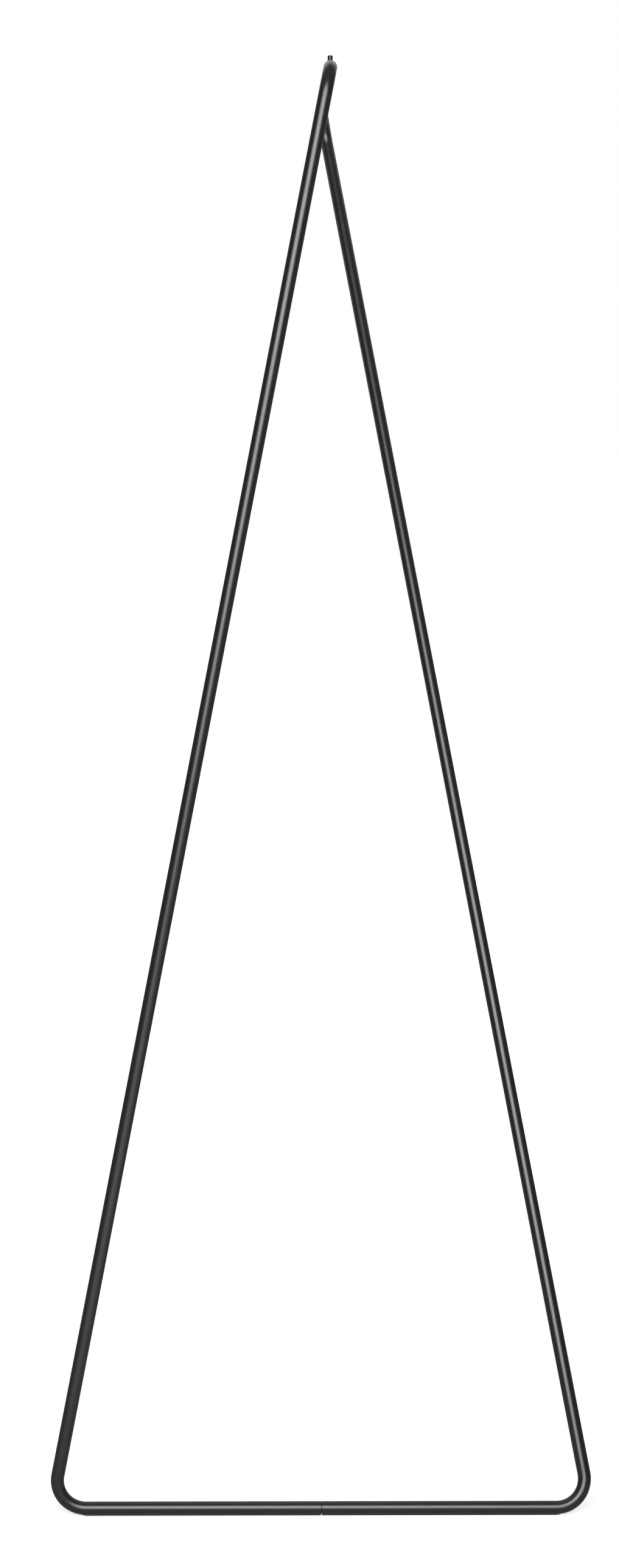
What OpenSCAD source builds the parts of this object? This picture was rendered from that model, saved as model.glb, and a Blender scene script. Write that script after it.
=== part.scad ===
// Wall-leaning hanging stand: one closed loop of bent round tube.
// Two tube halves meet end to end in the middle of the base bar and in the middle of the hanging rail.
// Origin: middle of the footprint, on the floor. +X right, +Y towards the wall, +Z up. Millimetres.

/* [Tube] */
// Outside diameter of the round tube
tube_d = 16; // [15:0.5:20]
// Wall thickness of the tube
tube_wall = 1.5; // [1.2:0.1:2]
// Centre-line radius of every bend
bend_r = 35; // [32:1:50]

/* [Loop] */
// Width of the base between the points where the centre lines meet
base_w = 660; // [500:5:800]
// Length of the rail between the points where the centre lines meet
rail_len = 620; // [500:5:800]
// Height of the rail's centre line above the floor
rail_h = 1742; // [1400:1:1900]

/* [Seams] */
// Gap between the two tube ends at a seam
seam_gap = 0.3; // [0.2:0.1:1]
// Chamfer on the outer edge of a tube end
seam_chamfer = 0.4; // [0.2:0.1:0.8]
// Length of the inner spigot that joins two tube ends
spigot_len = 110; // [80:5:160]
// Distance of a lock screw from its seam
lock_offset = 32; // [20:1:38]

/* [Stop pins] */
// Diameter of a stop pin
pin_d = 6; // [5.5:0.5:7]
// Height of a stop pin above the tube
pin_h = 7; // [5:0.5:12]
// Distance of a stop pin from the end of its bend
pin_inset = 15; // [12:1:40]

/* [Floor strips] */
// Thickness of the rubber strip under the tube
strip_t = 0.8; // [0.6:0.1:2]
// Width of the rubber strip
strip_w = 5; // [4:0.5:8]
// Gap between the two strips at the seam
strip_gap = 1.6; // [1:0.1:10]
// Distance of the strip's outer end from the corner bend
strip_inset = 3; // [2:1:40]

/* [Wall buffer] */
// Diameter of the rubber wall buffer
buffer_d = 12; // [10:0.5:14]
// Thickness of the buffer between the tube and the wall
buffer_t = 4; // [3:0.5:8]

/* [Hidden] */
$fn = 96;
tube_r = tube_d / 2;
bore_r = tube_r - tube_wall;
X = [1, 0, 0];
Y = [0, 1, 0];
Z = [0, 0, 1];
// How far a cutting shape runs past the face it cuts
past = 1;
// How much the tube is drawn in along a bend, and how far the straight runs on into it
bend_draw = 0.03;
bend_lap = 0.5;

function unit(v) = v / norm(v);
function turn(a, b) = acos(a * b);
function tangent(a, b) = bend_r * tan(turn(a, b) / 2);

// Meeting points of the centre lines, first with the base bar on y = 0
base_z = strip_t + tube_r;
rear_down = unit([base_w / 2, -rail_len, base_z - rail_h]);
rear_tangent = tangent(Y, rear_down);
back_y = rail_len - rear_tangent + bend_r + tube_r + buffer_t;
base_y = (tube_r - back_y) / 2;
seam_base = [0, base_y, base_z];
seam_rail = [0, base_y + rail_len / 2, rail_h];
corner_left = [-base_w / 2, base_y, base_z];
corner_right = [base_w / 2, base_y, base_z];
top_front = [0, base_y, rail_h];
top_rear = [0, base_y + rail_len, rail_h];

front_up = unit(top_front - corner_left);
corner_tangent = tangent(-X, front_up);

front_path = [seam_base - X * seam_gap / 2, corner_left, top_front, seam_rail - Y * seam_gap / 2];
rear_path = [seam_base + X * seam_gap / 2, corner_right, top_rear, seam_rail + Y * seam_gap / 2];

// Rear bend, where the loop comes nearest to the wall
rear_inward = unit(rear_down - Y * (rear_down * Y));
wall_point = top_rear + Y * (bend_r - rear_tangent) + rear_inward * bend_r;

// Stop pins stand on the rail, just inside the two bends
front_pin = top_front + Y * (tangent(front_up, Y) + pin_inset);
rear_pin = top_rear - Y * (rear_tangent + pin_inset);
pin_thread_d = 5;
pin_thread_len = 9;
pin_socket_af = 3;
pin_socket_depth = 3;
pin_edge = 0.6;

// Rivet nut set into the tube wall under a stop pin
nut_d = 7;
nut_head_d = 9;
nut_head_h = 0.3;
nut_collar_d = 9.4;
nut_collar_h = 2.5;
nut_depth = 10;

// Spigots and their lock screws
slip = 0.1;
thread_slip = 0.05;
spigot_r = bore_r - slip;
spigot_chamfer = 1.5;
screw_d = 5;
screw_len = 6;
screw_sink = 0.3;
screw_socket_af = 2.5;
screw_socket_depth = 3;
screw_edge = 0.5;
screw_hole_depth = 8;

// Wall buffer and its push-in stem
stem_d = 5;
barb_d = 6.4;
barb_len = 4;
buffer_edge = 1.5;

tube_color = "#2c2c2d";
rubber_color = "#1b1b1b";
steel_color = "#8d9095";
zinc_color = "#b4b7ba";
black_steel_color = "#19191a";

// Puts local x, y and z along three unit vectors at a point
module place(p, x, y, z) {
    multmatrix([
        [x[0], y[0], z[0], p[0]],
        [x[1], y[1], z[1], p[1]],
        [x[2], y[2], z[2], p[2]],
        [0, 0, 0, 1]
    ]) children();
}

// Puts local z along a direction at a point
module aim(p, dir) {
    side = abs(dir * Y) < 0.9 ? unit(cross(Y, dir)) : unit(cross(Z, dir));
    place(p, side, cross(dir, side), dir) children();
}

// Straight round bar between two points
module rod(p, q, r) {
    aim(p, unit(q - p)) cylinder(r = r, h = norm(q - p));
}

// Round bend at a corner, from direction a into direction b
module bend(corner, a, b, r) {
    inward = unit(b - a * (a * b));
    centre = corner - a * tangent(a, b) + inward * bend_r;
    place(centre, -inward, a, cross(a, inward))
        rotate_extrude(angle = turn(a, b)) translate([bend_r, 0]) circle(r = r);
}

// Solid round bar along a four-point path with two bends, longer at both ends by extra
module bent_bar(path, r, extra) {
    a = unit(path[1] - path[0]);
    b = unit(path[2] - path[1]);
    c = unit(path[3] - path[2]);
    first = tangent(a, b) - bend_lap;
    second = tangent(b, c) - bend_lap;
    rod(path[0] - a * extra, path[1] - a * first, r);
    bend(path[1], a, b, r - bend_draw);
    rod(path[1] + b * first, path[2] - b * second, r);
    bend(path[2], b, c, r - bend_draw);
    rod(path[2] + c * second, path[3] + c * extra, r);
}

// Ring that takes the sharp outer edge off a tube end; dir points out of the tube
module end_chamfer(p, dir) {
    aim(p, -dir) difference() {
        translate([0, 0, -past]) cylinder(r = tube_r + past, h = past + seam_chamfer);
        cylinder(r1 = tube_r - seam_chamfer, r2 = tube_r, h = seam_chamfer);
        translate([0, 0, -2 * past]) cylinder(r = tube_r - seam_chamfer, h = 2 * past);
    }
}

// Hollow bent tube with broken edges at its two ends
module bent_tube(path) {
    difference() {
        bent_bar(path, tube_r, 0);
        bent_bar(path, bore_r, past);
        end_chamfer(path[0], unit(path[0] - path[1]));
        end_chamfer(path[3], unit(path[3] - path[2]));
    }
}

// Round hole from the tube's axis out through one wall
module wall_hole(p, dir, d) {
    rod(p, p + dir * (tube_r + past), d / 2);
}

// Lock screws sit behind the base bar and under the rail, one on each side of a seam
module base_lock(side) {
    aim(seam_base + X * side * lock_offset, Y) children();
}

module rail_lock(side) {
    aim(seam_rail + Y * side * lock_offset, -Z) children();
}

module lock_hole() {
    cylinder(d = screw_d + 2 * slip, h = tube_r + past);
}

module front_tube() {
    color(tube_color) difference() {
        bent_tube(front_path);
        wall_hole(front_pin, Z, nut_d);
        base_lock(-1) lock_hole();
        rail_lock(-1) lock_hole();
    }
}

module rear_tube() {
    color(tube_color) difference() {
        bent_tube(rear_path);
        wall_hole(rear_pin, Z, nut_d);
        wall_hole(wall_point, Y, stem_d);
        base_lock(1) lock_hole();
        rail_lock(1) lock_hole();
    }
}

// Round bar with chamfered ends, centred on a seam along a direction
module spigot_bar(seam, dir) {
    body_len = spigot_len - 2 * spigot_chamfer;
    aim(seam - dir * spigot_len / 2, dir) {
        cylinder(r1 = spigot_r - spigot_chamfer, r2 = spigot_r, h = spigot_chamfer);
        translate([0, 0, spigot_chamfer]) cylinder(r = spigot_r, h = body_len);
        translate([0, 0, spigot_chamfer + body_len])
            cylinder(r1 = spigot_r, r2 = spigot_r - spigot_chamfer, h = spigot_chamfer);
    }
}

// Blind screw hole in a spigot, measured from the tube's outer face
module spigot_hole() {
    translate([0, 0, tube_r - screw_hole_depth])
        cylinder(d = screw_d + 2 * thread_slip, h = screw_hole_depth);
}

module base_spigot() {
    color(steel_color) difference() {
        spigot_bar(seam_base, X);
        for (side = [-1, 1]) base_lock(side) spigot_hole();
    }
}

module rail_spigot() {
    color(steel_color) difference() {
        spigot_bar(seam_rail, Y);
        for (side = [-1, 1]) rail_lock(side) spigot_hole();
    }
}

// Six-sided socket, open at the top of its height
module hex_socket(af, depth) {
    cylinder(d = af / cos(30), h = depth + past, $fn = 6);
}

// Headless screw with broken edges; its outer end lies just under the tube's face
module lock_screw() {
    r = screw_d / 2;
    body_len = screw_len - 2 * screw_edge;
    translate([0, 0, tube_r - screw_sink - screw_len]) difference() {
        union() {
            cylinder(r1 = r - screw_edge, r2 = r, h = screw_edge);
            translate([0, 0, screw_edge]) cylinder(r = r, h = body_len);
            translate([0, 0, screw_edge + body_len]) cylinder(r1 = r, r2 = r - screw_edge, h = screw_edge);
        }
        translate([0, 0, screw_len - screw_socket_depth]) hex_socket(screw_socket_af, screw_socket_depth);
    }
}

module base_lock_screws() {
    color(black_steel_color) for (side = [-1, 1]) base_lock(side) lock_screw();
}

module rail_lock_screws() {
    color(black_steel_color) for (side = [-1, 1]) rail_lock(side) lock_screw();
}

// Rivet nut: a thin head that hugs the tube, a sleeve through its wall and a collar set inside
module pin_nut(p) {
    color(zinc_color) difference() {
        union() {
            difference() {
                translate(p) cylinder(d = nut_head_d, h = tube_r + nut_head_h);
                rod(p - Y * nut_head_d, p + Y * nut_head_d, tube_r);
            }
            translate(p + Z * (tube_r - nut_depth)) cylinder(d = nut_d, h = nut_depth);
            intersection() {
                translate(p + Z * (bore_r - nut_collar_h - tube_wall))
                    cylinder(d = nut_collar_d, h = nut_collar_h + tube_wall);
                rod(p - Y * nut_collar_d, p + Y * nut_collar_d, bore_r);
            }
        }
        translate(p + Z * (tube_r - nut_depth - past))
            cylinder(d = pin_thread_d + 2 * thread_slip, h = nut_depth + nut_head_h + 2 * past);
    }
}

module front_pin_nut() { pin_nut(front_pin); }

module rear_pin_nut() { pin_nut(rear_pin); }

// Stop pin: a smooth post with a rounded top edge, a socket for tightening and a screw shank
module stop_pin(p) {
    r = pin_d / 2;
    post_h = pin_h - nut_head_h;
    color(black_steel_color) translate(p + Z * (tube_r + nut_head_h)) difference() {
        union() {
            rotate_extrude() {
                square([r, post_h - pin_edge]);
                square([r - pin_edge, post_h]);
                translate([r - pin_edge, post_h - pin_edge]) intersection() {
                    circle(r = pin_edge);
                    square(pin_edge);
                }
            }
            translate([0, 0, -pin_thread_len]) cylinder(d = pin_thread_d, h = pin_thread_len);
        }
        translate([0, 0, post_h - pin_socket_depth]) hex_socket(pin_socket_af, pin_socket_depth);
    }
}

module front_stop_pin() { stop_pin(front_pin); }

module rear_stop_pin() { stop_pin(rear_pin); }

// Rubber strip on the floor under one half of the base bar, hollowed to the tube on its upper side
module base_strip(side) {
    strip_len = base_w / 2 - corner_tangent - strip_inset - strip_gap / 2;
    round_r = strip_w / 2;
    color(rubber_color) difference() {
        translate([side * strip_gap / 2, base_y, 0]) mirror([side < 0 ? 1 : 0, 0, 0]) linear_extrude(base_z) {
            translate([0, -round_r]) square([strip_len - round_r, strip_w]);
            translate([strip_len - round_r, 0]) circle(r = round_r);
        }
        rod(seam_base - X * base_w, seam_base + X * base_w, tube_r);
        translate([-base_w, base_y - tube_r, base_z]) cube([2 * base_w, tube_d, tube_r]);
    }
}

module left_base_strip() { base_strip(-1); }

module right_base_strip() { base_strip(1); }

// Rubber buffer between the rear bend and the wall, hollowed to the bend, with a barbed stem
module wall_buffer() {
    r = buffer_d / 2;
    face_z = tube_r + buffer_t;
    color(rubber_color) {
        difference() {
            aim(wall_point, Y) rotate_extrude() {
                square([r, face_z - buffer_edge]);
                square([r - buffer_edge, face_z]);
                translate([r - buffer_edge, face_z - buffer_edge]) intersection() {
                    circle(r = buffer_edge);
                    square(buffer_edge);
                }
            }
            bend(top_rear, Y, rear_down, tube_r - bend_draw);
        }
        aim(wall_point, Y) {
            translate([0, 0, bore_r - barb_len]) cylinder(d = stem_d, h = face_z - bore_r);
            translate([0, 0, bore_r - barb_len]) cylinder(d1 = stem_d, d2 = barb_d, h = barb_len - tube_wall);
        }
    }
}

front_tube();
rear_tube();
base_spigot();
rail_spigot();
base_lock_screws();
rail_lock_screws();
front_pin_nut();
rear_pin_nut();
front_stop_pin();
rear_stop_pin();
left_base_strip();
right_base_strip();
wall_buffer();
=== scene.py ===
import math

import bmesh
import bpy
from mathutils import Matrix, Quaternion, Vector


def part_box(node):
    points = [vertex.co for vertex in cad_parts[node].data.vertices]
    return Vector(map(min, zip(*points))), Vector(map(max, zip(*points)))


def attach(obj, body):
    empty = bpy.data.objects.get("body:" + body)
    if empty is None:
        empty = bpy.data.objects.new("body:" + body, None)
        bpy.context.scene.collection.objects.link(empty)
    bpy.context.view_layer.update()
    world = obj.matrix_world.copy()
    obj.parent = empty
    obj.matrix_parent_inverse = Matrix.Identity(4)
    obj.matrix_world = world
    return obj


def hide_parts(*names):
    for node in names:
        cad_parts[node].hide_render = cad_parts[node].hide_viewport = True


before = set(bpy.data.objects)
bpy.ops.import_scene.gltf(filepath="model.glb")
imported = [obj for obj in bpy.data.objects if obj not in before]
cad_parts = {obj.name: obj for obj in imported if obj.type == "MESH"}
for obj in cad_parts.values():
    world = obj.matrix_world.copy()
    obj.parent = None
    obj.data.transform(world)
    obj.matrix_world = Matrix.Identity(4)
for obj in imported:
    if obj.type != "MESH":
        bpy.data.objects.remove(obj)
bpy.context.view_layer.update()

X = Vector((1, 0, 0))
Y = Vector((0, 1, 0))
Z = Vector((0, 0, 1))

# Sizes in metres, as in the part's source
TUBE_R = 0.008
BORE_R = 0.0065
BEND_R = 0.035
BASE_W = 0.660
RAIL_LEN = 0.620
SEAM_GAP = 0.0003
LOCK_OFFSET = 0.032
LOCK_HOLE_R = 0.0026
NUT_HOLE_R = 0.0035
STEM_HOLE_R = 0.0025
BUFFER_T = 0.004
STRIP_W = 0.005
STRIP_GAP = 0.0016

# Chamfer of the tube ends, smaller than in the source because the coat fills it
SEAM_CHAMFER = 0.00025
# How far a drill runs past the outside of the tube
DRILL_PAST = 0.001

# Fineness of the meshes
TUBE_SIDES = 64
HOLE_SIDES = 48
BEND_STEPS = 32
STRAIGHT_STEP = 0.045
SHARP_ANGLE = math.radians(30)


def middle(node):
    low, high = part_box(node)
    return (low + high) / 2


# Corners of the loop's centre line, placed by the spigots that sit in its two seams
SEAM_BASE = middle("base_spigot")
SEAM_RAIL = middle("rail_spigot")
CORNER_LEFT = SEAM_BASE - X * BASE_W / 2
CORNER_RIGHT = SEAM_BASE + X * BASE_W / 2
TOP_FRONT = SEAM_RAIL - Y * RAIL_LEN / 2
TOP_REAR = SEAM_RAIL + Y * RAIL_LEN / 2


# Centre line of the loop

def straight(start, end):
    """Points and directions along a straight, without its last point."""
    run = end - start
    steps = max(1, round(run.length / STRAIGHT_STEP))
    return [(start + run * i / steps, run.normalized()) for i in range(steps)]


class Bend:
    """The arc that rounds a corner of the centre line."""

    def __init__(self, corner, before, after):
        back = (before - corner).normalized()
        ahead = (after - corner).normalized()
        half = back.angle(ahead) / 2
        reach = BEND_R / math.tan(half)
        self.start = corner + back * reach
        self.end = corner + ahead * reach
        self.centre = corner + (back + ahead).normalized() * BEND_R / math.sin(half)
        self.axis = (self.start - self.centre).cross(self.end - self.centre).normalized()
        self.angle = math.pi - 2 * half

    def at(self, angle):
        """Point and direction at an angle from the arc's start."""
        arm = Matrix.Rotation(angle, 3, self.axis) @ (self.start - self.centre)
        return self.centre + arm, self.axis.cross(arm).normalized()

    def steps(self):
        """Points and directions along the arc, without its last point."""
        return [self.at(self.angle * i / BEND_STEPS) for i in range(BEND_STEPS)]


def loop_path(first, corner, top, last):
    """Points and directions of one tube half: three straights and two bends."""
    low = Bend(corner, first, top)
    high = Bend(top, corner, last)
    inward = (corner - first).normalized()
    outward = (last - top).normalized()
    last_edge = last - outward * SEAM_CHAMFER
    path = [(first, inward)]
    path += straight(first + inward * SEAM_CHAMFER, low.start) + low.steps()
    path += straight(low.end, high.start) + high.steps()
    path += straight(high.end, last_edge)
    path += [(last_edge, outward), (last, outward)]
    return path


# Meshes

def mesh_object(name, bm):
    mesh = bpy.data.meshes.new(name)
    bm.to_mesh(mesh)
    bm.free()
    obj = bpy.data.objects.new(name, mesh)
    bpy.context.scene.collection.objects.link(obj)
    return obj


def smooth(obj):
    obj.data.shade_smooth()
    obj.data.set_sharp_from_angle(angle=SHARP_ANGLE)


def join_rings(bm, first, second):
    for i in range(len(first)):
        j = (i + 1) % len(first)
        bm.faces.new((first[i], first[j], second[j], second[i]))


# Tubes

def ring_frames(path):
    """Point and two cross directions of each ring, carried along the path without twist."""
    direction = path[0][1]
    side = direction.orthogonal().normalized()
    frames = []
    for point, heading in path:
        side = (direction.rotation_difference(heading) @ side).normalized()
        frames.append((point, side, heading.cross(side).normalized()))
        direction = heading
    return frames


def add_ring(bm, ring, radius):
    point, u, v = ring
    verts = []
    for i in range(TUBE_SIDES):
        angle = math.tau * i / TUBE_SIDES
        verts.append(bm.verts.new(point + (u * math.cos(angle) + v * math.sin(angle)) * radius))
    return verts


def swept_tube(path):
    """Closed hollow tube along a path, with chamfered outer edges at both ends."""
    bm = bmesh.new()
    frames = ring_frames(path)
    last = len(frames) - 1
    outer = []
    inner = []
    for i, ring in enumerate(frames):
        end_ring = i in (0, last)
        outer.append(add_ring(bm, ring, TUBE_R - SEAM_CHAMFER if end_ring else TUBE_R))
        inner.append(add_ring(bm, ring, BORE_R))
    for i in range(last):
        join_rings(bm, outer[i], outer[i + 1])
        join_rings(bm, inner[i + 1], inner[i])
    join_rings(bm, inner[0], outer[0])
    join_rings(bm, outer[last], inner[last])
    bmesh.ops.recalc_face_normals(bm, faces=bm.faces)
    return bm


def add_drill(bm, point, direction, radius):
    """Cutting cylinder from the tube's axis out through one wall."""
    length = TUBE_R + DRILL_PAST
    turn = Z.rotation_difference(direction).to_matrix().to_4x4()
    bmesh.ops.create_cone(
        bm,
        cap_ends=True,
        segments=HOLE_SIDES,
        radius1=radius,
        radius2=radius,
        depth=length,
        matrix=Matrix.Translation(point + direction * length / 2) @ turn,
    )


def cut(obj, drills):
    """Cuts the drills out of obj and leaves a plain mesh."""
    cutter = mesh_object("drills", drills)
    boolean = obj.modifiers.new("holes", "BOOLEAN")
    boolean.operation = "DIFFERENCE"
    boolean.solver = "EXACT"
    boolean.object = cutter
    graph = bpy.context.evaluated_depsgraph_get()
    mesh = bpy.data.meshes.new_from_object(obj.evaluated_get(graph))
    obj.modifiers.clear()
    obj.data = mesh
    bpy.data.objects.remove(cutter)


def loop_tube(name, node, path, holes, material):
    """One half of the loop, finely swept, in place of the CAD tube."""
    obj = mesh_object(name, swept_tube(path))
    drills = bmesh.new()
    for point, direction, radius in holes:
        add_drill(drills, point, direction, radius)
    cut(obj, drills)
    obj.data.name = name
    smooth(obj)
    obj.data.materials.clear()
    obj.data.materials.append(material)
    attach(obj, "root")
    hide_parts(node)


def pin_axis(node):
    """Point on the rail's axis under a stop pin."""
    point = middle(node)
    return Vector((point.x, point.y, SEAM_RAIL.z))


def buffer_axis():
    """Point on the rear bend's axis in front of the wall buffer."""
    point = middle("wall_buffer")
    wall_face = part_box("wall_buffer")[1].y
    return Vector((point.x, wall_face - BUFFER_T - TUBE_R, point.z))


def build_tubes(material):
    base_left = SEAM_BASE - X * SEAM_GAP / 2
    base_right = SEAM_BASE + X * SEAM_GAP / 2
    rail_front = SEAM_RAIL - Y * SEAM_GAP / 2
    rail_rear = SEAM_RAIL + Y * SEAM_GAP / 2
    front_holes = [
        (SEAM_BASE - X * LOCK_OFFSET, Y, LOCK_HOLE_R),
        (SEAM_RAIL - Y * LOCK_OFFSET, -Z, LOCK_HOLE_R),
        (pin_axis("front_stop_pin"), Z, NUT_HOLE_R),
    ]
    rear_holes = [
        (SEAM_BASE + X * LOCK_OFFSET, Y, LOCK_HOLE_R),
        (SEAM_RAIL + Y * LOCK_OFFSET, -Z, LOCK_HOLE_R),
        (pin_axis("rear_stop_pin"), Z, NUT_HOLE_R),
        (buffer_axis(), Y, STEM_HOLE_R),
    ]
    front_path = loop_path(base_left, CORNER_LEFT, TOP_FRONT, rail_front)
    rear_path = loop_path(base_right, CORNER_RIGHT, TOP_REAR, rail_rear)
    loop_tube("front_loop_tube", "front_tube", front_path, front_holes, material)
    loop_tube("rear_loop_tube", "rear_tube", rear_path, rear_holes, material)


# Floor strips

# Radius of a strip's lower edges, and the steps round an edge and across the hollow top
STRIP_EDGE = 0.00015
STRIP_EDGE_STEPS = 3
STRIP_HOLLOW_STEPS = 8
# The tapered end, measured along the tube's underside from the start of the corner bend
TAPER_FROM = -0.002
TAPER_TO = 0.005
TAPER_STEPS = 10
# Thickness and width at the tip, as shares of the full ones
TIP_THICKNESS = 0.12
TIP_WIDTH = 0.5


def strip_outline(thickness, width, floor_depth):
    """Section below the tube's axis, hollowed to the tube on top, with rounded lower edges."""
    half = STRIP_W / 2 * width
    low = TUBE_R + (floor_depth - TUBE_R) * thickness
    edge = STRIP_EDGE * thickness
    reach = math.asin(half / TUBE_R)
    angles = [reach * (2 * i / STRIP_HOLLOW_STEPS - 1) for i in range(STRIP_HOLLOW_STEPS + 1)]
    hollow = [(TUBE_R * math.sin(a), TUBE_R * math.cos(a)) for a in angles]
    quarter = [math.pi / 2 * (1 - i / STRIP_EDGE_STEPS) for i in range(STRIP_EDGE_STEPS + 1)]
    rounding = [(half + edge * (math.sin(a) - 1), low + edge * (math.cos(a) - 1)) for a in quarter]
    return hollow + rounding + [(-x, y) for x, y in reversed(rounding)]


def add_section(bm, point, heading, thickness, width):
    across = Z.cross(heading).normalized()
    down = across.cross(heading)
    outline = strip_outline(thickness, width, -point.z / down.z)
    return [bm.verts.new(point + across * x + down * y) for x, y in outline]


def add_taper(bm, bend, heading):
    """Sections of a strip's outer end, which runs on under the corner bend and thins out."""
    sections = []
    for i in range(TAPER_STEPS + 1):
        share = i / TAPER_STEPS
        past = TAPER_FROM + (TAPER_TO - TAPER_FROM) * share
        if past > 0:
            point, direction = bend.at(past / (BEND_R + TUBE_R))
        else:
            point, direction = bend.start + heading * past, heading
        thickness = 1 - (1 - TIP_THICKNESS) * share ** 2
        width = 1 - (1 - TIP_WIDTH) * share ** 2
        sections.append(add_section(bm, point, direction, thickness, width))
    return sections


def floor_strip(first, corner, top):
    """Strip under half of the base bar, from the seam to its tapered outer end."""
    bend = Bend(corner, first, top)
    heading = (bend.start - first).normalized()
    bm = bmesh.new()
    even = straight(first, bend.start + heading * TAPER_FROM)
    sections = [add_section(bm, point, direction, 1, 1) for point, direction in even]
    sections += add_taper(bm, bend, heading)
    for one, other in zip(sections, sections[1:]):
        join_rings(bm, one, other)
    bm.faces.new(sections[0])
    bm.faces.new(sections[-1])
    bmesh.ops.recalc_face_normals(bm, faces=bm.faces)
    return bm


def build_strips(material):
    sides = (
        ("left_floor_strip", "left_base_strip", -X, CORNER_LEFT, TOP_FRONT),
        ("right_floor_strip", "right_base_strip", X, CORNER_RIGHT, TOP_REAR),
    )
    for name, node, outward, corner, top in sides:
        obj = mesh_object(name, floor_strip(SEAM_BASE + outward * STRIP_GAP / 2, corner, top))
        smooth(obj)
        obj.data.materials.append(material)
        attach(obj, "root")
        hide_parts(node)


# Shader nodes

class Nodes:
    """Adds nodes to one tree. A value may be a plain one or another node's output."""

    def __init__(self, tree):
        self.tree = tree

    def add(self, kind, **settings):
        node = self.tree.nodes.new(kind)
        for key, value in settings.items():
            setattr(node, key, value)
        return node

    def put(self, node, name, value):
        if isinstance(value, bpy.types.NodeSocket):
            self.tree.links.new(value, node.inputs[name])
        else:
            node.inputs[name].default_value = value

    def math(self, operation, a, b=0):
        node = self.add("ShaderNodeMath", operation=operation)
        self.put(node, 0, a)
        self.put(node, 1, b)
        return node.outputs[0]

    def distance(self, place, point):
        node = self.add("ShaderNodeVectorMath", operation="DISTANCE")
        self.put(node, 0, place)
        self.put(node, 1, point)
        return node.outputs["Value"]

    def remap(self, value, span, result, ease="LINEAR"):
        """Carries a value over from one span to another, and holds it at the ends."""
        node = self.add("ShaderNodeMapRange", interpolation_type=ease)
        self.put(node, "Value", value)
        for name, number in zip(("From Min", "From Max", "To Min", "To Max"), (*span, *result)):
            self.put(node, name, number)
        return node.outputs["Result"]

    def fade(self, value, span, result):
        return self.remap(value, span, result, "SMOOTHSTEP")

    def coordinates(self, kind):
        return self.add("ShaderNodeTexCoord").outputs[kind]

    def along(self, axis, place):
        node = self.add("ShaderNodeSeparateXYZ")
        self.put(node, "Vector", place)
        return node.outputs[axis]

    def show_mix(self, factor, first, second):
        """Sends a mix of two shaders to the material's output."""
        node = self.add("ShaderNodeMixShader")
        self.put(node, 0, factor)
        self.put(node, 1, first.outputs[0])
        self.put(node, 2, second.outputs[0])
        self.put(self.tree.nodes["Material Output"], "Surface", node.outputs[0])


class Surface(Nodes):
    """A Principled material that is built from nodes on object coordinates."""

    def __init__(self, name):
        self.material = bpy.data.materials.new(name)
        self.material.use_nodes = True
        super().__init__(self.material.node_tree)
        self.shader = self.tree.nodes["Principled BSDF"]
        self.place = self.coordinates("Object")

    def set(self, **values):
        for key, value in values.items():
            self.put(self.shader, key.replace("_", " "), value)

    def stretched(self, scale):
        node = self.add("ShaderNodeMapping")
        self.put(node, "Vector", self.place)
        self.put(node, "Scale", scale)
        return node.outputs["Vector"]

    def noise(self, scale, detail, place=None):
        node = self.add("ShaderNodeTexNoise")
        self.put(node, "Vector", place or self.place)
        self.put(node, "Scale", scale)
        self.put(node, "Detail", detail)
        return node.outputs["Fac"]

    def blend(self, factor, a, b):
        node = self.add("ShaderNodeMix", data_type="RGBA")
        self.put(node, "Factor", factor)
        self.put(node, MIX_A, a)
        self.put(node, MIX_B, b)
        return node.outputs[MIX_RESULT]

    def bump(self, height, distance, under=None):
        node = self.add("ShaderNodeBump")
        self.put(node, "Height", height)
        self.put(node, "Distance", distance)
        if under is not None:
            self.put(node, "Normal", under)
        return node.outputs["Normal"]

    def specks(self, cell, radius, share):
        """1 inside small round dots, one in some of the cells, elsewhere 0."""
        node = self.add("ShaderNodeTexVoronoi")
        self.put(node, "Vector", self.place)
        self.put(node, "Scale", 1 / cell)
        edge = radius / cell
        dot = self.remap(node.outputs["Distance"], (edge * SPECK_CORE, edge), (1, 0))
        parts = self.add("ShaderNodeSeparateColor")
        self.put(parts, "Color", node.outputs["Color"])
        chosen = self.math("LESS_THAN", parts.outputs["Red"], share)
        return self.math("MULTIPLY", dot, chosen)


# The sockets that a Mix node has for colours
MIX_A = 6
MIX_B = 7
MIX_RESULT = 2
# Share of a speck's radius that is plain, inside its soft edge
SPECK_CORE = 0.6
# The middle span of a noise, which holds most of its values
NOISE_SPAN = (0.3, 0.7)


def grey(value, blue=1.0):
    return (value, value, value * blue, 1)


# Materials. Scales are per metre, heights in metres, and pairs go from low noise to high.

COAT_TONES = (grey(0.0035, 1.05), grey(0.0055, 1.08))
COAT_ROUGHNESS = (0.285, 0.335)
COAT_IOR = 1.58
COAT_SPECULAR = 1.0
CLOUD_SCALE = 14
HAZE_SCALE = 90
PEEL_SCALE = 620
PEEL_HEIGHT = 0.00003
GRAIN_SCALE = 2400
GRAIN_HEIGHT = 0.000006
DUST_TONE = grey(0.22)
DUST_CELL = 0.011
DUST_R = 0.0003
DUST_SHARE = 0.22
# The rubbed stretch of the rail: its middle in y, half its length, and its soft end
RUB_MIDDLE = 0.012
RUB_END = RAIL_LEN / 2 - BEND_R
RUB_SOFT = 0.03
# The height above the rail's axis where it is rubbed fully, and what that adds to the roughness
RUB_RISE = 0.005
RUB_ROUGHNESS = (0.272, 0.34)


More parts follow.
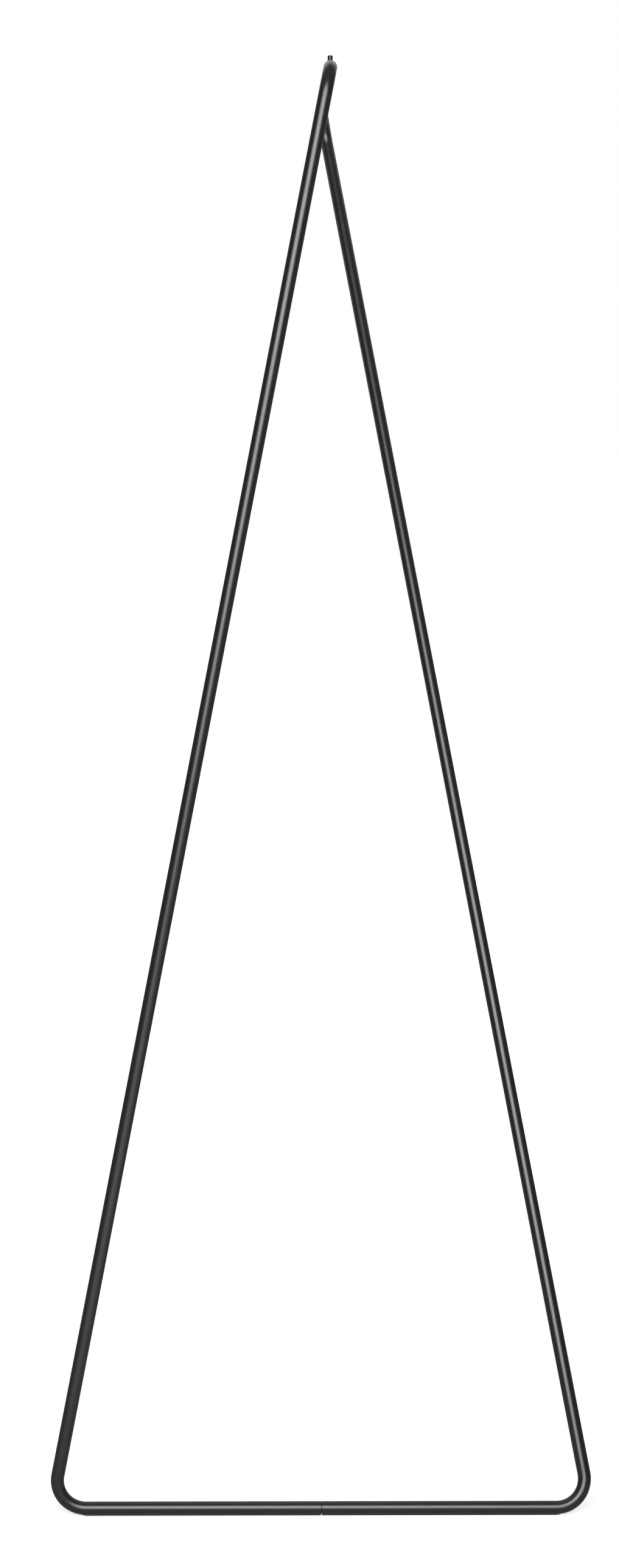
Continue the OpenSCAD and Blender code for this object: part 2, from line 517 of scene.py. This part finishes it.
def rail_top(s):
    """1 on the upper side of the straight rail, where hooks rub the coat, elsewhere 0."""
    off_middle = s.math("ABSOLUTE", s.math("SUBTRACT", s.along("Y", s.place), RUB_MIDDLE))
    on_rail = s.remap(off_middle, (RUB_END - RUB_SOFT, RUB_END), (1, 0))
    upper = s.remap(s.along("Z", s.place), (SEAM_RAIL.z, SEAM_RAIL.z + RUB_RISE), (0, 1))
    return s.math("MULTIPLY", on_rail, upper)


def powder_coat():
    """Satin black powder coat: fine orange peel, cloudy sheen and a few specks of dust."""
    s = Surface("powder_coat_satin_black")
    deep = s.blend(s.noise(CLOUD_SCALE, detail=3), *COAT_TONES)
    haze = s.noise(HAZE_SCALE, detail=3)
    rubbed = s.math("MULTIPLY", rail_top(s), s.remap(haze, NOISE_SPAN, RUB_ROUGHNESS))
    peel = s.bump(s.noise(PEEL_SCALE, detail=2), PEEL_HEIGHT)
    s.set(
        Base_Color=s.blend(s.specks(DUST_CELL, DUST_R, DUST_SHARE), deep, DUST_TONE),
        Roughness=s.math("ADD", s.remap(haze, NOISE_SPAN, COAT_ROUGHNESS), rubbed),
        Normal=s.bump(s.noise(GRAIN_SCALE, detail=1), GRAIN_HEIGHT, peel),
        IOR=COAT_IOR,
        Specular_IOR_Level=COAT_SPECULAR,
    )
    return s.material


OXIDE_TONES = (grey(0.004), grey(0.011, 1.1))
OXIDE_TONE_SCALE = 400
OXIDE_ROUGH_SCALE = 700
OXIDE_SPECULAR = 0.75
# How far the roughness goes below and above its stated value
OXIDE_SMOOTHER = 0.04
OXIDE_ROUGHER = 0.06
TURNING_SCALE = 900
TURNING_STRETCH = (0.15, 0.15, 6)
TURNING_HEIGHT = 0.000004
PIN_ROUGHNESS = 0.16
SCREW_ROUGHNESS = 0.34


def black_oxide(name, roughness):
    """Blackened steel with turning lines round an upright axis."""
    s = Surface(name)
    spread = (roughness - OXIDE_SMOOTHER, roughness + OXIDE_ROUGHER)
    lines = s.noise(TURNING_SCALE, detail=2, place=s.stretched(TURNING_STRETCH))
    s.set(
        Base_Color=s.blend(s.noise(OXIDE_TONE_SCALE, detail=3), *OXIDE_TONES),
        Roughness=s.remap(s.noise(OXIDE_ROUGH_SCALE, detail=3), NOISE_SPAN, spread),
        Normal=s.bump(lines, TURNING_HEIGHT),
        Specular_IOR_Level=OXIDE_SPECULAR,
    )
    return s.material


ZINC_TONES = ((0.46, 0.47, 0.48, 1), (0.62, 0.63, 0.63, 1))
ZINC_ROUGHNESS = (0.26, 0.42)
SPANGLE_SCALE = 650
ZINC_ROUGH_SCALE = 900
ZINC_GRAIN_SCALE = 1500
ZINC_GRAIN_HEIGHT = 0.000005


def zinc_plate():
    """Zinc-plated steel: pale metal with a soft spangle."""
    s = Surface("zinc_plated_steel")
    s.set(
        Base_Color=s.blend(s.noise(SPANGLE_SCALE, detail=3), *ZINC_TONES),
        Metallic=1.0,
        Roughness=s.remap(s.noise(ZINC_ROUGH_SCALE, detail=2), NOISE_SPAN, ZINC_ROUGHNESS),
        Normal=s.bump(s.noise(ZINC_GRAIN_SCALE, detail=2), ZINC_GRAIN_HEIGHT),
    )
    return s.material


# Dark tones that paint the shade deep in the narrow seam gaps, where the spigots show
STEEL_TONES_PAINTED_SHADE = ((0.05, 0.052, 0.056, 1), (0.085, 0.086, 0.09, 1))
STEEL_ROUGHNESS = (0.38, 0.54)
STEEL_TONE_SCALE = 120
DRAWING_SCALE = 1800
DRAWING_HEIGHT = 0.000008
# How the drawing lines are stretched along the base bar and along the rail
ALONG_X = (0.02, 1, 1)
ALONG_Y = (1, 0.02, 1)


def drawn_steel(name, along):
    """Bare bar with drawing lines along its length, painted dark to stand for the shade deep in the
    narrow seam gaps where it shows.
    """
    s = Surface(name)
    lines = s.noise(DRAWING_SCALE, detail=2, place=s.stretched(along))
    s.set(
        Base_Color=s.blend(s.noise(STEEL_TONE_SCALE, detail=3), *STEEL_TONES_PAINTED_SHADE),
        Metallic=1.0,
        Roughness=s.remap(lines, NOISE_SPAN, STEEL_ROUGHNESS),
        Normal=s.bump(lines, DRAWING_HEIGHT),
    )
    return s.material


# The strips' rubber is painted lighter than the buffer's, to make up for the shade it sits in under
# the tube
STRIP_TONES_PAINTED_LIGHTER = (grey(0.065), grey(0.12))
BUFFER_TONES = (grey(0.03), grey(0.07))
RUBBER_ROUGHNESS = (0.68, 0.86)
RUBBER_ROUGH_SCALE = 500
RUBBER_SPECULAR = 0.35
RUBBER_GRAIN_SCALE = 1900
RUBBER_GRAIN_HEIGHT = 0.00003
RUBBER_DUST_SCALE = 160
RUBBER_DUST_SPAN = (0.55, 0.8)
RUBBER_DUST = (0, 0.35)


def rubber(name, tones):
    """Matt moulded rubber with a fine grain and a trace of dust."""
    s = Surface(name)
    dust = s.remap(s.noise(RUBBER_DUST_SCALE, detail=4), RUBBER_DUST_SPAN, RUBBER_DUST)
    s.set(
        Base_Color=s.blend(dust, *tones),
        Roughness=s.remap(s.noise(RUBBER_ROUGH_SCALE, detail=3), NOISE_SPAN, RUBBER_ROUGHNESS),
        Normal=s.bump(s.noise(RUBBER_GRAIN_SCALE, detail=3), RUBBER_GRAIN_HEIGHT),
        Specular_IOR_Level=RUBBER_SPECULAR,
    )
    return s.material


def paint(material, *nodes):
    for node in nodes:
        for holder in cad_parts[node].material_slots:
            holder.material = material


def finish_cad_nodes():
    paint(black_oxide("black_oxide_pin", PIN_ROUGHNESS), "front_stop_pin", "rear_stop_pin")
    paint(black_oxide("black_oxide_screw", SCREW_ROUGHNESS), "base_lock_screws", "rail_lock_screws")
    paint(zinc_plate(), "front_pin_nut", "rear_pin_nut")
    # The spigots' steel is painted dark as the shade inside the seam gaps
    paint(drawn_steel("drawn_steel_base_painted_shade", ALONG_X), "base_spigot")
    paint(drawn_steel("drawn_steel_rail_painted_shade", ALONG_Y), "rail_spigot")
    paint(rubber("matt_black_rubber", BUFFER_TONES), "wall_buffer")


# World and floor

WHITE = grey(1)
# Strengths of the world for light and for mirrored rays
AMBIENT = 0.2
ROOM_MIRRORED = 0.085
BACKDROP_MIRRORED = 0.08
CEILING_MIRRORED = 0.1
# The floor's size and finish, and its lift towards white for the camera, which is full far off
FLOOR_REACH = 60.0
FLOOR_SIDES = 96
FLOOR_TONE = grey(0.9)
FLOOR_ROUGHNESS = 0.9
FLOOR_SPECULAR = 0.1
FLOOR_NEAR = 0.3
FLOOR_FAR = 2.0
FLOOR_LIFT = 0.64
# The pool of light painted on the floor as emission that only mirrored rays see, and their plain floor
# level further off
FLOOR_MIRRORED = 0.16
PAINTED_POOL_MIRRORED = 0.75
PAINTED_POOL_AT = (-0.1, -2.4, 0)
PAINTED_POOL_CORE = 0.6
PAINTED_POOL_REACH = 2.6


class Rays(Nodes):
    """Nodes that know camera rays from mirrored ones, which are glossy or transmission rays."""

    def __init__(self, tree):
        super().__init__(tree)
        path = self.add("ShaderNodeLightPath").outputs
        self.camera = path["Is Camera Ray"]
        self.mirrored = self.math("MAXIMUM", path["Is Glossy Ray"], path["Is Transmission Ray"])


def build_world():
    """White all round to the camera. Reflections see it dimmer, brightest at the back and overhead."""
    world = bpy.data.worlds.new("studio")
    bpy.context.scene.world = world
    world.use_nodes = True
    rays = Rays(world.node_tree)
    direction = rays.coordinates("Generated")
    backdrop = rays.fade(rays.along("Y", direction), (0, 1), (0, BACKDROP_MIRRORED))
    overhead = (ROOM_MIRRORED, ROOM_MIRRORED + CEILING_MIRRORED)
    ceiling = rays.fade(rays.along("Z", direction), (0, 1), overhead)
    mirrored = rays.math("MULTIPLY", rays.mirrored, rays.math("ADD", backdrop, ceiling))
    others = rays.math("SUBTRACT", 1, rays.math("MAXIMUM", rays.camera, rays.mirrored))
    seen = rays.math("MAXIMUM", rays.camera, mirrored)
    strength = rays.math("MAXIMUM", seen, rays.math("MULTIPLY", others, AMBIENT))
    background = world.node_tree.nodes["Background"]
    rays.put(background, "Color", WHITE)
    rays.put(background, "Strength", strength)


def floor_material():
    """Pale floor that keeps the shadow near the stand and turns plain white further off. Reflections
    see a painted pool of light on it, not its lit surface.
    """
    material = bpy.data.materials.new("studio_floor")
    material.use_nodes = True
    rays = Rays(material.node_tree)
    place = rays.coordinates("Object")
    lift = rays.fade(rays.distance(place, (0, 0, 0)), (FLOOR_NEAR, FLOOR_FAR), (FLOOR_LIFT, 1))
    # Painted pool of light: emission strength for mirrored rays, brightest in front of the stand
    painted_pool_span = (PAINTED_POOL_CORE, PAINTED_POOL_REACH)
    painted_pool = rays.fade(rays.distance(place, PAINTED_POOL_AT), painted_pool_span, (PAINTED_POOL_MIRRORED, FLOOR_MIRRORED))
    seen = rays.math("MULTIPLY", rays.camera, lift)
    strength = rays.math("MAXIMUM", seen, rays.math("MULTIPLY", rays.mirrored, painted_pool))
    shader = rays.tree.nodes["Principled BSDF"]
    rays.put(shader, "Base Color", FLOOR_TONE)
    rays.put(shader, "Roughness", FLOOR_ROUGHNESS)
    rays.put(shader, "Specular IOR Level", FLOOR_SPECULAR)
    rays.put(shader, "Emission Color", WHITE)
    rays.put(shader, "Emission Strength", strength)
    mirror_image = rays.add("ShaderNodeEmission")
    rays.put(mirror_image, "Strength", strength)
    rays.show_mix(rays.mirrored, shader, mirror_image)
    return material


def build_floor():
    bm = bmesh.new()
    bmesh.ops.create_circle(bm, cap_ends=True, segments=FLOOR_SIDES, radius=FLOOR_REACH)
    floor = mesh_object("studio_floor", bm)
    floor.data.materials.append(floor_material())


# Softbox, and a white card behind the stand

SOFTBOX_AT = Vector((-0.24, -3.0, 2.05))
SOFTBOX_AIM = Vector((0, -0.1, 1.95))
SOFTBOX_SIZE = (3.8, 3.6)
SOFTBOX_TILT = math.radians(-14)
SOFTBOX_RADIANCE = 4.3
SOFTBOX_COLOUR = (0.97, 0.955, 1)
# Share of the softbox that is evenly bright, and the brightness at its edge
SOFTBOX_CORE = 0.5
SOFTBOX_EDGE = 0.1
# The softbox's own coordinates run from 0 to 1 across it
SOFTBOX_MIDDLE = (0.5, 0.5, 0)
SOFTBOX_RIM = 0.5
# The card: its place in y, half its width, its soft sides, and its brightness low down and high up
CARD_AT = 0.36
CARD_HALF_W = 0.8
CARD_SOFT_W = 0.5
CARD_GLOW = (0.4, 1.15)
# The heights between which it brightens, and between which it fades out
CARD_RISE = (1.6, 2.2)
CARD_TOP = (2.5, 2.9)


def build_softbox():
    """One large soft light in front of the stand, above and to the left of the camera."""
    width, height = SOFTBOX_SIZE
    area = math.pi * width * height / 4
    light = bpy.data.lights.new("softbox", "AREA")
    light.shape = "ELLIPSE"
    light.size = width
    light.size_y = height
    light.color = SOFTBOX_COLOUR
    light.energy = SOFTBOX_RADIANCE * math.pi * area
    light.use_nodes = True
    nodes = Nodes(light.node_tree)
    place = nodes.add("ShaderNodeNewGeometry").outputs["Parametric"]
    from_middle = nodes.distance(place, SOFTBOX_MIDDLE)
    fade = nodes.fade(from_middle, (SOFTBOX_RIM * SOFTBOX_CORE, SOFTBOX_RIM), (1, SOFTBOX_EDGE))
    nodes.put(light.node_tree.nodes["Emission"], "Strength", fade)
    obj = bpy.data.objects.new("softbox", light)
    obj.location = SOFTBOX_AT
    obj.rotation_mode = "QUATERNION"
    aim = (SOFTBOX_AIM - SOFTBOX_AT).to_track_quat("-Z", "Y")
    obj.rotation_quaternion = aim @ Quaternion(Z, SOFTBOX_TILT)
    obj.visible_camera = False
    bpy.context.scene.collection.objects.link(obj)


def card_material():
    """Emission that grows with height, and fades at the card's sides and top."""
    material = bpy.data.materials.new("backdrop_card")
    material.use_nodes = True
    nodes = Nodes(material.node_tree)
    place = nodes.coordinates("Object")
    height = nodes.along("Z", place)
    aside = nodes.math("ABSOLUTE", nodes.along("X", place))
    top = nodes.fade(height, CARD_TOP, (1, 0))
    side = nodes.fade(aside, (CARD_HALF_W - CARD_SOFT_W, CARD_HALF_W), (1, 0))
    within = nodes.math("MULTIPLY", top, side)
    brightness = nodes.fade(height, CARD_RISE, CARD_GLOW)
    glow = nodes.add("ShaderNodeEmission")
    nodes.put(glow, "Strength", nodes.math("MULTIPLY", brightness, within))
    clear = nodes.add("ShaderNodeBsdfTransparent")
    nodes.show_mix(within, clear, glow)
    return material


def build_card():
    """White card behind the stand that only reflections see."""
    top = CARD_TOP[1]
    corners = [(-CARD_HALF_W, 0), (CARD_HALF_W, 0), (CARD_HALF_W, top), (-CARD_HALF_W, top)]
    bm = bmesh.new()
    bm.faces.new([bm.verts.new((x, CARD_AT, z)) for x, z in corners])
    card = mesh_object("backdrop_card", bm)
    card.data.materials.append(card_material())
    card.visible_camera = False
    card.visible_diffuse = False
    card.visible_shadow = False


# Camera. Its sensor is in millimetres. Its focal length, and where its axis lies across the picture,
# are in the picture's pixels.

PHOTO_W = 1017
PHOTO_H = 2576
SENSOR = 36.0
FOCAL_PX = 5211.1
CENTRE_PX = 560.94
CAMERA_AT = Vector((-0.0790, -4.0553, 1.3476))
PITCH_DOWN = math.radians(6.785)
YAW_RIGHT = math.radians(1.4815)
ROLL = math.radians(-0.4054)


def build_camera():
    data = bpy.data.cameras.new("camera")
    data.sensor_width = SENSOR
    data.lens = FOCAL_PX / PHOTO_H * SENSOR
    data.shift_x = (PHOTO_W / 2 - CENTRE_PX) / PHOTO_H
    level = Vector((math.sin(YAW_RIGHT), math.cos(YAW_RIGHT), 0))
    forward = level * math.cos(PITCH_DOWN) - Z * math.sin(PITCH_DOWN)
    right = Vector((math.cos(YAW_RIGHT), -math.sin(YAW_RIGHT), 0))
    down = forward.cross(right)
    image_right = right * math.cos(ROLL) + down * math.sin(ROLL)
    image_up = right * math.sin(ROLL) - down * math.cos(ROLL)
    camera = bpy.data.objects.new("camera", data)
    camera.matrix_world = Matrix((image_right, image_up, -forward)).transposed().to_4x4()
    camera.location = CAMERA_AT
    bpy.context.scene.collection.objects.link(camera)
    bpy.context.scene.camera = camera


bpy.context.scene.view_settings.view_transform = "Standard"
build_camera()
build_world()
build_floor()
build_softbox()
build_card()
build_tubes(powder_coat())
# Strip rubber painted lighter against the shade under the tube
build_strips(rubber("matt_rubber_painted_lighter", STRIP_TONES_PAINTED_LIGHTER))
finish_cad_nodes()
